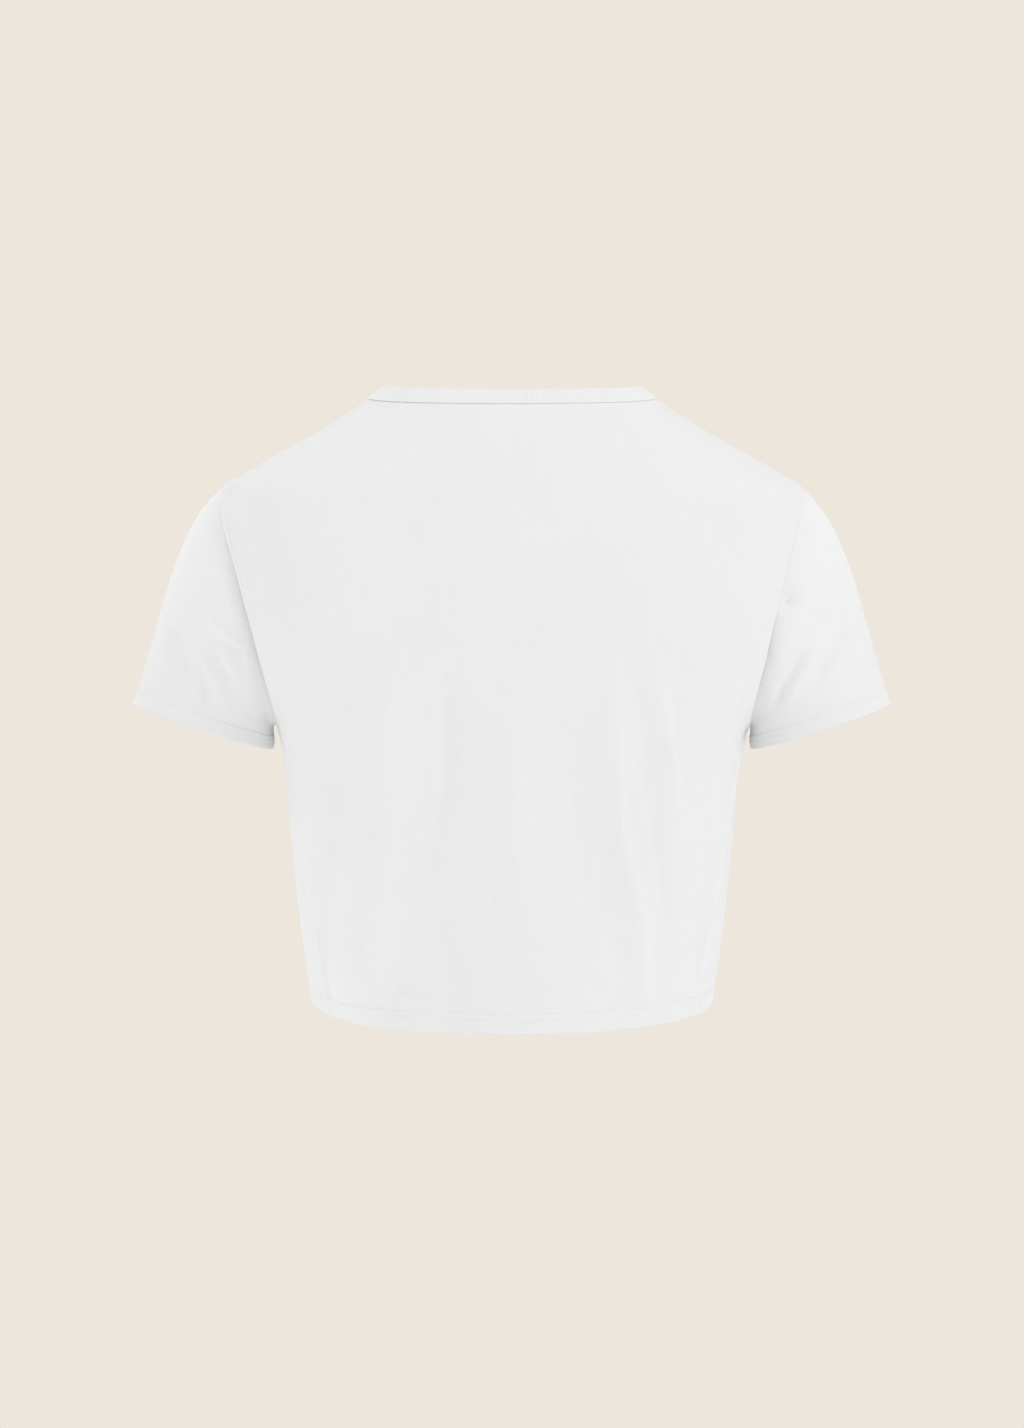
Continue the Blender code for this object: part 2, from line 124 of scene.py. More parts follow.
def squaredRound(angle, square):
    # a circle of radius 1, pushed out a little towards a square
    across = (np.cos(angle) - square * np.cos(3 * angle)) / (1 - square)
    deep = (np.sin(angle) + square * np.sin(3 * angle)) / (1 - square)
    return across, deep


def formPoint(angle, height):
    # angle 0 is the side, 90 degrees the middle of the back, -90 the middle of the front
    halfWidth, back, front, square = readTable(bodyForm["sections"], height, smooth=True)
    across, deep = squaredRound(angle, square)
    depth = np.where(deep > 0, back, front)
    return np.stack([halfWidth * across, depth * deep, height], axis=-1)


def angleWhere(axis, wanted, height, low, high):
    # the angle at which the form reaches a place along one axis, by halving the span
    low = np.full(np.shape(wanted), low)
    high = np.full(np.shape(wanted), high)
    for _ in range(40):
        middle = (low + high) / 2
        below = formPoint(middle, height)[..., axis] < wanted
        low = np.where(below, middle, low)
        high = np.where(below, high, middle)
    return (low + high) / 2


def armholeLine(side, loop):
    # loop runs from pi under the arm to 0 at the shoulder
    cut = armholeCut
    height = cut["height"] + cut["halfHigh"] * np.cos(loop)
    roundness = np.where(height > cut["height"], cut["roundAbove"], cut["roundBelow"])
    reach = side * cut["halfDeep"] * abs(np.sin(loop)) ** roundness
    depth = cut["depth"] + cut["lean"] * (height - cut["height"]) + reach
    return np.stack([angleWhere(1, depth, height, -np.pi / 2, np.pi / 2), height], axis=-1)


def hemLine(angle):
    return bodyForm["hemHeight"] - bodyForm["hemTilt"] * np.sin(angle)


def sideSeamLine(side, offsets, share):
    # offsets are the close rows over the hem, and share the even ones up to the arm
    corner = armholeLine(side, np.array([np.pi]))[0]
    foot = hemLine(corner[0] + bodyForm["sideSeamSwing"])
    plain = foot + offsets[-1] + (corner[1] - foot - offsets[-1]) * share
    height = np.concatenate([foot + offsets[:-1], plain])
    swing = 1 - np.exp(-(corner[1] - height) / bodyForm["sideSeamReach"])
    return np.stack([corner[0] + bodyForm["sideSeamSwing"] * swing, height], axis=-1)


def necklineLine(side, share):
    # share 0 is the middle, 1 the shoulder seam
    cut = necklineCut
    shoulderAngle = armholeLine(side, np.array([0.0]))[0, 0]
    turn = np.linspace(np.pi / 2, 0, cut["steps"])
    if side > 0:
        angle = shoulderAngle + (np.pi / 2 - shoulderAngle) * turn / (np.pi / 2)
        height = -cut["backDrop"] * np.sin(turn)
    else:
        neckSide = formPoint(shoulderAngle, np.array(0.0))[0]
        height = -cut["frontDrop"] * np.sin(turn)
        angle = angleWhere(0, neckSide * np.cos(turn), height, -np.pi / 2, 0.0)
        angle[-1] = shoulderAngle
    walked = walkAlong(formPoint(angle, height))
    return readAlong(np.stack([angle, height], axis=-1), walked, share * walked[-1])


def gridNormals(points, closed=False):
    along = np.gradient(points, axis=0)
    if closed:
        around = np.roll(points, -1, axis=1) - np.roll(points, 1, axis=1)
    else:
        around = np.gradient(points, axis=1)
    return unit(np.cross(around, along))


def gridWalk(points, axis):
    # distance walked along rows or columns of a grid
    steps = np.linalg.norm(np.diff(points, axis=axis), axis=-1)
    start = np.zeros_like(np.take(steps, [0], axis=axis))
    return np.concatenate([start, np.cumsum(steps, axis=axis)], axis=axis)


panelMesh = {
    "sideRows": 72,
    "armRows": 82,
    "neckColumns": 44,
    "shoulderColumns": 44,
    # close rows and columns beside a seam, as distances from it
    "besideSeam": (0.0005, 0.0010, 0.0016, 0.0023, 0.0031, 0.0040, 0.0052),
    "armLength": 0.20,  # about, which turns those distances into shares
    "shoulderLength": 0.12,
    "armFoot": 0.42,  # share of the middle line that lies below the armhole's rows
    # first, last and number of the steps in which the form is measured for the knit
    "weaveLevels": (-0.420, 0.0, 421),
    "weaveTurns": (0, 2.2, 221),
}

hemFinish = {
    "height": 0.0120,
    "stitchRows": (0.0084, 0.0124),
    # rows of the grid over the edge, close together at the stitches
    "rows": (
        0.0, 0.0006, 0.0016, 0.0030, 0.0046, 0.0062, 0.0074, 0.0080, 0.0084, 0.0088,
        0.0094, 0.0104, 0.0114, 0.0120, 0.0124, 0.0128, 0.0134, 0.0144, 0.0158, 0.0175,
    ),
    "cloth": 0.0018,
    "stitchSink": 0.00032,
    "stitchSinkWidth": 0.0007,
}

seamFinish = {
    # round the armhole from the shoulder, below zero at the front: degrees, how far the cloth
    # tucks under the body's edge, the body's rise beside it, and the depth of the seam's groove
    "left": (
        (-180, 0.0, 0.0000, 0.0004),
        (-155, 0.8, 0.0008, 0.0003),
        (-100, 0.8, 0.0018, 0.0003),
        (-60, 0.0, 0.0018, 0.0008),
        (-30, 0.0, 0.0010, 0.0010),
        (-12, 0.0, 0.0003, 0.0008),
        (0, 0.0, 0.0000, 0.0003),
        (12, 0.15, 0.0003, 0.0006),
        (30, 0.25, 0.0018, 0.0008),
        (50, 0.35, 0.0042, 0.0008),
        (70, 0.70, 0.0036, 0.0006),
        (90, 1.0, 0.0026, 0.0004),
        (126, 0.9, 0.0014, 0.0003),
        (146, 0.5, 0.0008, 0.0003),
        (164, 0.1, 0.0004, 0.0003),
        (180, 0.0, 0.0003, 0.0004),
    ),
    "right": (
        (-180, 0.0, 0.0000, 0.0004),
        (-155, 0.8, 0.0008, 0.0003),
        (-100, 0.8, 0.0018, 0.0003),
        (-60, 0.0, 0.0016, 0.0008),
        (-20, 0.0, 0.0008, 0.0008),
        (0, 0.0, 0.0000, 0.0002),
        (15, 0.0, 0.0002, 0.0001),
        (50, 0.0, 0.0006, 0.0001),
        (90, 0.0, 0.0020, 0.0002),
        (110, 0.9, 0.0028, 0.0003),
        (130, 0.8, 0.0028, 0.0003),
        (146, 0.5, 0.0028, 0.0003),
        (164, 0.1, 0.0028, 0.0003),
        (180, 0.0, 0.0028, 0.0003),
    ),
    # down the side seams: height, rise of the back and of the front beside it, depth of its groove
    "leftSide": (
        (-0.4200, 0.0004, 0.0000, 0.0004),
        (-0.3950, 0.0012, 0.0000, 0.0007),
        (-0.3700, 0.0014, 0.0000, 0.0007),
        (-0.3400, 0.0006, 0.0006, 0.0004),
        (-0.2165, 0.0003, 0.0000, 0.0004),
    ),
    "rightSide": (
        (-0.4200, 0.0006, 0.0000, 0.0003),
        (-0.3950, 0.0010, 0.0000, 0.0003),
        (-0.3500, 0.0040, -0.0014, 0.0003),
        (-0.2700, 0.0040, -0.0012, 0.0003),
        (-0.2165, 0.0028, 0.0000, 0.0003),
    ),
    "tuckDepth": 0.0034,
    "tuckWidth": 0.0035,
    "sleeveTuckWidth": 0.0115,
    "rollOut": 0.0030,  # where it tucks, the body's edge rolls over the sleeve
    "rollPlace": 0.0040,
    "rollWidth": 0.0040,
    "drawIn": 0.0035,  # and the seam is drawn in under that roll
    "drawWidth": 0.0020,
    "sleeveDrawWidth": 0.0080,
    "armRise": 0.0140,
    "sideRise": 0.0060,
    "riseFrom": 0.0036,
    "edgeSpan": 3,  # columns that give the way to the edge
    "grooveWidth": 0.0008,
    "neckGroove": 0.0005,
    "neckGrooveLean": 0.0020,  # deeper towards the wearer's left
    "shoulderGroove": 0.0005,
    "allowance": 0.0065,  # turned towards the back and the body
    "allowanceLift": 0.00035,
    "allowanceStart": 0.0020,
    "allowanceEdge": 0.0030,
    "endFade": 0.020,  # rises and folds die away over this much at the top and the hem
    "creaseFade": 0.010,  # and folds over this much at the sides
}

creaseMesh = {
    "unit": 0.001,
    "reach": 3,  # widths, past which a fold adds nothing
    "steps": 6,  # for each place
}

# Each fold has its width and its lift (above zero on a ridge, below zero in a trough) in
# millimetres, and the shares of its length over which it comes up and dies away. Then come the
# places it passes through, each its distance from the middle line and its height, also in
# millimetres.
backCreases = (
    (5.2, 3, 0.25, 0.50, (119.9, -240), (128.4, -275.4), (134, -315.8), (134, -351)),
    (8, -2.7, 0.35, 0.10, (107.6, -220), (109.2, -256.7), (116, -305.2), (124, -360.9),
     (126.2, -420)),
    (18, 8.5, 0.35, 0.20, (79.7, -145), (79.5, -200), (85, -274.9), (93.8, -325.8), (104, -420)),
    (7, -2.4, 0.30, 0.45, (42.6, -140), (40.5, -213.2), (42, -249.5), (49, -286.7), (48, -350)),
    (13, -3.4, 0.40, 0.10, (49, -290), (43, -350), (39, -420)),
    (5.5, -1, 0.35, 0.50, (11.5, -165), (10.4, -233), (5.5, -300)),
    (16, 4.7, 0.35, 0.30, (8, -165), (1, -232.9), (-5.5, -310), (-14.5, -385)),
    (10.5, -1.8, 0.35, 0.25, (-46.5, -170), (-42.5, -254), (-50, -315.7), (-66.4, -349.9),
     (-72, -395)),
    (6.8, 3.6, 0.30, 0.22, (-63, -145), (-64.8, -213.5), (-67.2, -254.7), (-73, -296.4),
     (-81.5, -330.3), (-84, -368.3), (-88.5, -420)),
    (6, -1.4, 0.30, 0.30, (-78.5, -150), (-83.1, -201.8), (-87.1, -243.2), (-93, -280.4),
     (-100, -327.4), (-105, -385)),
    (5.6, 3, 0.30, 0.40, (-88, -155), (-96, -197.5), (-101.6, -235.4), (-106, -269.8),
     (-111, -308)),
    (4.5, 1.2, 0.50, 0.50, (-112, -145), (-115, -160), (-127, -190)),
    (6.2, -1.3, 0.30, 0.35, (-136, -205), (-132, -229), (-125, -270), (-121, -305)),
    (4.2, -2, 0.35, 0.30, (-135, -270), (-127.5, -319), (-124, -352), (-121.5, -395)),
    # short ones over the hem
    (4.2, -1.4, 0.50, 0.45, (86, -377), (66, -387), (50, -393)),
    (4, 1, 0.50, 0.50, (83, -388), (70, -391), (60, -396)),
    (3.6, -0.9, 0.50, 0.45, (-20, -379), (-31, -386), (-43, -392)),
    (4, 0.9, 0.50, 0.50, (-35, -377), (-46, -385), (-56, -393)),
    # across, beside the right arm
    (5.5, -1, 0.50, 0.50, (-104, -140), (-122, -136), (-145, -137)),
)

frontCreases = (
    (11.5, -2.6, 0.40, 0.40, (90, -135), (72, -230), (60, -345)),
    (10, 3, 0.40, 0.05, (106, -155), (94, -270), (90, -420)),
    (12.5, -2.2, 0.40, 0.05, (29, -200), (34, -300), (41, -420)),
    (13, 2, 0.40, 0.10, (7, -225), (4, -320), (0, -410)),
    (11.5, -2.4, 0.40, 0.05, (-32, -190), (-34, -290), (-44, -420)),
    (11.5, 2.8, 0.40, 0.40, (-92, -140), (-78, -240), (-70, -365)),
    (10, -2.8, 0.40, 0.05, (-108, -155), (-102, -270), (-100, -420)),
    (7, -1.2, 0.45, 0.45, (50, -120), (52, -175), (48, -240)),
    (6.5, 1.1, 0.45, 0.45, (-56, -115), (-56, -180), (-50, -250)),
    (7, -2, 0.40, 0.40, (126, -200), (120, -290), (112, -380)),
    (7, 2, 0.40, 0.05, (-128, -215), (-124, -300), (-118, -420)),
    # from under the arms towards the chest
    (6, -2, 0.45, 0.55, (148, -142), (130, -148), (108, -160)),
    (5.5, 1.4, 0.45, 0.55, (146, -164), (128, -173), (112, -190)),
    (6, -1.8, 0.45, 0.55, (-150, -138), (-129, -143), (-106, -152)),
    (5.5, 1.2, 0.45, 0.55, (-144, -160), (-126, -172), (-113, -188)),
    # short ones over the hem
    (4, -1.3, 0.50, 0.45, (78, -378), (69, -385), (58, -390)),
    (4, -1.3, 0.50, 0.45, (-43, -376), (-53, -384), (-62, -390)),
    (4, 0.9, 0.50, 0.50, (20, -374), (12, -380), (2, -386)),
)


def roundedLine(corners):
    walked = walkAlong(corners)
    places = np.linspace(0, walked[-1], creaseMesh["steps"] * len(corners))
    return np.stack([smoothCurve(walked, column, places) for column in corners.T], axis=-1)


def creaseLift(creases, x, z):
    lift = np.zeros_like(x)
    for width, height, start, end, *places in creases:
        width, height = width * creaseMesh["unit"], height * creaseMesh["unit"]
        line = roundedLine(np.array(places) * creaseMesh["unit"])
        reach = creaseMesh["reach"] * width
        low, high = line.min(axis=0) - reach, line.max(axis=0) + reach
        near = (x > low[0]) & (x < high[0]) & (z > low[1]) & (z < high[1])
        step = np.diff(line, axis=0)
        length = np.linalg.norm(step, axis=-1)
        offset = np.stack([x[near], z[near]], axis=-1)[:, None] - line[:-1]
        along = np.clip((offset * step).sum(axis=-1) / length**2, 0, 1)
        away = np.linalg.norm(offset - along[..., None] * step, axis=-1)
        nearest = away.argmin(axis=1)
        before = walkAlong(line)
        here = (np.arange(len(nearest)), nearest)
        share = (before[nearest] + along[here] * length[nearest]) / before[-1]
        run = softStep(share / start) * softStep((1 - share) / end)
        lift[near] += height * run * hump(away[here], width)
    return lift


def allowanceRise(away):
    finish = seamFinish
    edge = finish["allowanceEdge"]
    rise = softStep(away / finish["allowanceStart"])
    rise = rise * softStep((finish["allowance"] + edge / 2 - away) / edge)
    return finish["allowanceLift"] * rise


def hemSink(fromHem, hem):
    # the thread draws the cloth in along each row of stitches
    sink, width = hem["stitchSink"], hem["stitchSinkWidth"]
    return -sum(sink * hump(fromHem - row, width) for row in hem["stitchRows"])


def bothHalves(left, right):
    # a whole panel from its half at the wearer's left and the same half turned over
    return np.concatenate([right[:, :0:-1], left], axis=1)


def panelGrid(side, creases):
    mesh, finish = panelMesh, seamFinish
    offsets = np.array(hemFinish["rows"])
    beside = np.array(mesh["besideSeam"])[::-1]
    # rows: the hem, the side seam, then the armhole, closer together at the top
    sideShare = np.linspace(0, 1, mesh["sideRows"] + 1)
    near = beside / mesh["armLength"]
    plain = np.linspace(near[0], 1 - near[0], mesh["armRows"])
    armShare = np.concatenate([near[:0:-1], plain, 1 - near[1:], [1]])
    seam = sideSeamLine(side, offsets, sideShare)
    outer = np.concatenate([seam, armholeLine(side, np.pi * (1 - armShare))])
    # columns: the neckline, then the shoulder, closer together at the outer edge
    neckShare = np.linspace(0, 1, mesh["neckColumns"] + 1)
    near = 1 - beside / mesh["shoulderLength"]
    plain = np.linspace(0, near[0], mesh["shoulderColumns"])[1:]
    shoulderShare = np.concatenate([plain, near[1:], [1]])
    neck = necklineLine(side, neckShare)
    tip = outer[-1]
    shoulder = np.stack([np.full(len(shoulderShare), tip[0]), tip[1] * shoulderShare], axis=-1)
    top = np.concatenate([neck, shoulder])
    across = np.concatenate([neckShare * 0.5, 0.5 + shoulderShare * 0.5])
    # the middle line has as many rows as the outer edge
    middleAngle = side * np.pi / 2
    foot = hemLine(middleAngle)
    split = mesh["armFoot"]
    share = np.concatenate([sideShare * split, split + armShare * (1 - split)])
    plain = foot + offsets[-1] + (top[0, 1] - foot - offsets[-1]) * share
    middleHeight = np.concatenate([foot + offsets[:-1], plain])
    middle = np.stack([np.full(len(outer), middleAngle), middleHeight], axis=-1)
    # angles and heights in between, blended from the four edges
    rise = (middleHeight - middleHeight[0]) / (middleHeight[-1] - middleHeight[0])
    rise = (rise**2)[:, None, None]
    across = across[None, :, None]
    bottom = (1 - across[0]) * middle[0] + across[0] * outer[0]
    bottom[1:-1, 1] = hemLine(bottom[1:-1, 0])
    patch = (1 - rise) * bottom[None] + rise * top[None]
    patch = patch + (1 - across) * middle[:, None] + across * outer[:, None]
    patch = patch - (1 - across) * ((1 - rise) * bottom[0] + rise * top[0])
    patch = patch - across * ((1 - rise) * bottom[-1] + rise * top[-1])
    turns, heights = patch[..., 0], patch[..., 1]
    half, halfWeave = formPoint(turns, heights), panelWeave(turns, heights, side)
    points = bothHalves(half, half * (-1, 1, 1))
    # distances from the seams and from the hem
    walkAcross, walkUp = gridWalk(points, 1), gridWalk(points, 0)
    fromSide = np.minimum(walkAcross, walkAcross[:, -1:] - walkAcross)
    fromTop = walkUp[-1:] - walkUp
    fromHem = points[..., 2] - hemLine(bothHalves(turns, np.pi - turns))
    topFade = softStep(fromTop / finish["endFade"])
    fade = softStep(fromSide / finish["creaseFade"]) * topFade
    lift = creaseLift(creases, points[..., 0], points[..., 2]) * fade
    lift += hemSink(fromHem, hemFinish)
    if side > 0:
        lift += allowanceRise(fromSide) * softStep(fromHem / finish["endFade"]) * topFade
    outward = gridNormals(points) * -side
    return {
        "points": points + outward * lift[..., None],
        "fromSide": fromSide,
        "fromTop": fromTop,
        "fromHem": fromHem,
        "firstArmRow": len(seam) - 1,
        "degrees": side * 180 * (1 - np.concatenate([0 * seam[:, 0], armShare])),
        "edgeHeight": outer[:, 1],
        "weave": bothHalves(halfWeave, halfWeave * (-1, 1)),
    }


def panelWeave(angles, heights, side):
    # knit lines run straight up the cloth: distance round from the middle, and up the middle
    levels = np.linspace(*panelMesh["weaveLevels"])
    turns = np.linspace(*panelMesh["weaveTurns"])
    table = formPoint(*np.meshgrid(side * (np.pi / 2 - turns), levels))
    around = gridWalk(table, 1)
    up = gridWalk(table[:, :1], 0)[:, 0]
    # each point's place among those steps, kept just inside the last one
    row = np.clip((heights - levels[0]) / (levels[1] - levels[0]), 0, len(levels) - 1.001)
    column = (np.pi / 2 - side * angles) / (turns[1] - turns[0])
    column = np.clip(column, 0, len(turns) - 1.001)
    low, near = row.astype(int), column.astype(int)
    row, column = row - low, column - near
    below = around[low, near] * (1 - column) + around[low, near + 1] * column
    above = around[low + 1, near] * (1 - column) + around[low + 1, near + 1] * column
    return np.stack([below * (1 - row) + above * row, np.interp(heights, levels, up)], axis=-1)


sleeveCut = {
    "cuffMiddle": (0.2068, 0.0, -0.2190),
    "armFromVertical": math.radians(18),
    "cuffHalfWide": 0.0482,
    "cuffHalfDeep": 0.0400,
    "cuffSquare": 0.015,  # towards the body, from this many degrees round and over so many more
    "squareFrom": 80,
    "squareOver": 40,
    "cuffTilt": math.radians(3),
    # round the half loop: angle, slope below level, lean to back or front, share it holds that
    "start": (
        (0, 38, 0.00, 0.26),
        (45, 50, 0.18, 0.26),
        (90, 55, 0.10, 0.30),
        (135, 30, -0.05, 0.30),
        (160, 10, -0.05, 0.30),
        (180, -10, 0.00, 0.30),
    ),
    "endHold": 0.45,
    "steps": 400,
    "rings": 58,
    "round": 0.30,
    "creaseTurn": 0.15,  # folds die away over this much at the shoulder and under the arm
    "creaseFade": 0.010,
}

cuffFinish = {
    "height": 0.0095,
    "stitchRows": (0.0068, 0.0098),
    "rows": (
        0.0, 0.0006, 0.0016, 0.0032, 0.0048, 0.0058, 0.0064, 0.0068, 0.0072,
        0.0078, 0.0088, 0.0094, 0.0098, 0.0102, 0.0108, 0.0118, 0.0132,
    ),
    "cloth": 0.0017,
    "stitchSink": 0.00030,
    "stitchSinkWidth": 0.0006,
}

# laid out as the body's folds, with the distances above zero for either arm
leftSleeveCreases = {
    "back": (
        (3, 1.6, 0.35, 0.20, (202, -129), (195.3, -145), (186.2, -154.5), (174, -162.5)),
        (2.8, -2.2, 0.50, 0.20, (194, -156), (186, -160.8), (174, -167)),
        (3.4, 1.7, 0.30, 0.30, (207, -156), (200.4, -174), (194, -186), (186.2, -207)),
        (3, -1.4, 0.40, 0.40, (199, -160), (191.1, -174.5), (182, -188)),
        (3, 1.4, 0.50, 0.40, (189, -164), (186.5, -168.3), (176, -183)),
        (3.2, -1.3, 0.40, 0.40, (208, -176), (200.8, -194.5), (198, -208)),
        (3.4, 1.6, 0.30, 0.30, (230.4, -143), (227.6, -168.9), (221, -183), (210.5, -201)),
        (3.8, -1.3, 0.40, 0.40, (222.5, -144), (215.7, -171.2), (211, -187)),
    ),
    "front": (
        (3.4, -1.8, 0.40, 0.30, (198, -130), (190, -148), (176, -164)),
        (4, 1.8, 0.35, 0.35, (209, -142), (200, -166), (188, -188)),
        (4, -1.6, 0.35, 0.35, (219, -150), (212, -175), (201, -199)),
        (3.4, 1.2, 0.45, 0.40, (193, -168), (185, -182), (175, -193)),
    ),
}

rightSleeveCreases = {
    "back": (
        (4.2, -2.6, 0.35, 0.45, (168, -133.5), (176, -132), (190, -129)),
        (4, 0.9, 0.40, 0.50, (169, -144), (180, -142.5), (193, -145)),
        (3.6, -2, 0.35, 0.30, (195, -159), (182.2, -181.8), (175.5, -196), (171.5, -208)),
        (4.4, 1.8, 0.35, 0.30, (207, -148), (194.1, -173.2), (182.7, -192.7), (176, -208)),
        (4.2, -1.9, 0.35, 0.30, (224, -130), (215.3, -154.5), (204.9, -175.2), (195, -194)),
        (4, 1.3, 0.40, 0.50, (219, -113), (213.9, -129.7), (206, -147)),
        (4.8, 1.3, 0.40, 0.40, (225.5, -138), (226.8, -164.5), (220, -185)),
    ),
    "front": (
        (3.6, 1.8, 0.40, 0.30, (199, -128), (191, -150), (179, -168)),
        (3.8, -1.9, 0.35, 0.35, (206, -140), (196, -162), (183, -183)),
        (4.2, 1.5, 0.35, 0.35, (218, -142), (211, -170), (200, -193)),
        (3.2, -1.1, 0.45, 0.40, (190, -172), (184, -185), (176, -195)),
    ),
}


def sleeveLoop(panels):
    # from under the arm up the front edge and down the back one, 0 degrees at the shoulder
    start = panels[0]["firstArmRow"]
    upFront, upBack = [
        np.column_stack([panel["points"][start:, -1], panel["degrees"][start:]])
        for panel in panels
    ]
    loop = np.concatenate([upFront, upBack[::-1][1:-1]])
    return loop[:, :3], loop[:, 3]


def sleeveGrid(loop, degrees, creases):
    cut = sleeveCut
    turn = np.radians(degrees)
    lean, tilt = cut["armFromVertical"], cut["cuffTilt"]
    arm = np.array((np.sin(lean), 0, -np.cos(lean)))
    outward = np.array((np.cos(lean), 0, np.sin(lean)))
    backward = np.cos(tilt) * np.array((0, 1, 0)) - np.sin(tilt) * arm
    square = cut["cuffSquare"] * softStep((abs(degrees) - cut["squareFrom"]) / cut["squareOver"])
    across, deep = squaredRound(turn, square)
    cuff = (
        np.array(cut["cuffMiddle"])
        + cut["cuffHalfWide"] * across[:, None] * outward
        + cut["cuffHalfDeep"] * deep[:, None] * backward
    )
    # curved lines from the armhole to the cuff
    slope, sideways, hold = readTable(cut["start"], abs(degrees), smooth=True)
    slope = np.radians(slope)
    leave = np.stack([np.cos(slope), np.sign(turn) * sideways, -np.sin(slope)], axis=-1)
    chord = np.linalg.norm(cuff - loop, axis=-1)[:, None]
    afterStart = loop + unit(leave) * chord * hold[:, None]
    beforeEnd = cuff - arm * chord * cut["endHold"]
    t = np.linspace(0, 1, cut["steps"])[:, None, None]
    lines = (
        (1 - t) ** 3 * loop
        + 3 * (1 - t) ** 2 * t * afterStart
        + 3 * (1 - t) * t**2 * beforeEnd
        + t**3 * cuff
    )
    walked = gridWalk(lines, 0)
    whole = walked[-1]
    # rings of the grid, close together at the seam and at the hem
    beside = np.concatenate([[0], panelMesh["besideSeam"]])
    hemRows = np.array(cuffFinish["rows"])[::-1]
    share = np.linspace(0, 1, cut["rings"])[1:-1, None]
    plain = beside[-1] + share * (whole - beside[-1] - hemRows[0])
    wanted = [beside[:, None] * np.ones_like(whole), plain, whole - hemRows[:, None]]
    wanted = np.concatenate(wanted)
    points = [readAlong(lines[:, n], walked[:, n], wanted[:, n]) for n in range(len(loop))]
    points = np.stack(points, axis=1)
    lift = np.zeros_like(wanted)
    for half, sign in (("back", 1), ("front", -1)):
        here = softStep(sign * np.sin(turn) / cut["creaseTurn"])
        lift += here * creaseLift(creases[half], points[..., 0], points[..., 2])
    fromHem = whole - wanted
    lift = lift * softStep(wanted / cut["creaseFade"]) + hemSink(fromHem, cuffFinish)
    normals = -gridNormals(points, closed=True)
    return {
        "points": points + normals * lift[..., None],
        "degrees": degrees,
        "fromSeam": wanted,
        "fromHem": fromHem,
        "weave": np.stack([degrees / 360 * cut["round"] + 0 * wanted, fromHem], axis=-1),
        "round": cut["round"],
    }


neckbandCut = {
    "width": 0.0120,
    "riseBack": math.radians(47),
    "riseSide": math.radians(36),
    "riseFront": math.radians(60),
    "backFrom": 0.7,  # share of the way to the back at which its rise is reached
    "rows": (0.0, 0.0005, 0.0012, 0.0024, 0.0040, 0.0060, 0.0080, 0.0098, 0.0110, 0.0117, 0.0120),
    "cloth": 0.0016,
    "ribs": 300,
    "ribColumns": 4,
    "ribHeight": 0.00011,
    "ribEnds": 0.12,  # share of the width over which the ribs come up
    "puff": 0.0006,
    "puffRound": 0.7,
    "waySpan": 3,  # columns to either side that give the way round
}


def neckLoop(front, back):
    # from the wearer's left shoulder, where the strip's ends meet, by the front and round
    halves = []
    for panel in (back, front):
        middle = panel["points"].shape[1] // 2
        halves.append(panel["points"][-1, middle : middle + panelMesh["neckColumns"] + 1])
    left = np.concatenate([halves[0], halves[1][::-1][1:]])
    loop = np.concatenate([left, left[-2:0:-1] * (-1, 1, 1)])
    return np.roll(loop, 1 - len(halves[0]), axis=0)


def neckbandGrid(loop):
    cut = neckbandCut
    closed = np.concatenate([loop, loop[:1]])
    walked = walkAlong(closed)
    wanted = np.linspace(0, walked[-1], cut["ribs"] * cut["ribColumns"] + 1)[:-1]
    even = readAlong(closed, walked, wanted)
    span = cut["waySpan"]
    tangent = unit(np.roll(even, -span, axis=0) - np.roll(even, span, axis=0))
    levelIn = unit(np.stack([tangent[:, 1], -tangent[:, 0], 0 * tangent[:, 0]], axis=-1))
    levelIn *= -np.sign((levelIn * even).sum(axis=-1, keepdims=True))
    backShare = softStep(even[:, 1:2] / (cut["backFrom"] * even[:, 1].max()))
    frontShare = softStep(even[:, 1:2] / even[:, 1].min())
    rise = cut["riseSide"] + (cut["riseBack"] - cut["riseSide"]) * backShare
    rise = rise + (cut["riseFront"] - cut["riseSide"]) * frontShare
    lean = np.cos(rise) * levelIn + np.sin(rise) * np.array((0, 0, 1))
    steps = np.array(cut["rows"])
    points = even[None] + steps[:, None, None] * lean[None]
    normals = -gridNormals(points, closed=True)
    share = (steps / cut["width"])[:, None]
    rib = np.cos(np.arange(len(even)) * 2 * np.pi / cut["ribColumns"]) * cut["ribHeight"]
    height = cut["puff"] * np.sin(np.pi * share) ** cut["puffRound"]
    height = height + rib * softStep(np.minimum(share, 1 - share) / cut["ribEnds"])
    weave = np.stack(np.meshgrid(wanted, steps), axis=-1)
    return {"points": points + normals * height[..., None], "weave": weave, "round": walked[-1]}


clothFinish = {
    "jersey": 0.00095,
    "hemStep": 0.0012,  # over this much the cloth goes from one layer to the turned hem
    "roundEdge": 0.35,
    "sharpAbove": math.radians(72),
    "meeting": 0.00004,  # points of two seams that lie closer than this meet
}


def shareNormals(edges):
    # edges lists (points, normals) views of seam lines; where they meet they get one normal
    places = np.concatenate([points for points, _ in edges])
    every = np.concatenate([normals for _, normals in edges])
    shared = []
    for place in places:
        near = np.linalg.norm(places - place, axis=-1) < clothFinish["meeting"]
        shared.append(every[near].sum(axis=0))
    shared = unit(np.array(shared))
    start = 0
    for points, normals in edges:
        normals[:] = shared[start : start + len(points)]
        start += len(points)


def linkedObject(name, data):
    thing = bpy.data.objects.new(name, data)
    bpy.context.scene.collection.objects.link(thing)
    return thing


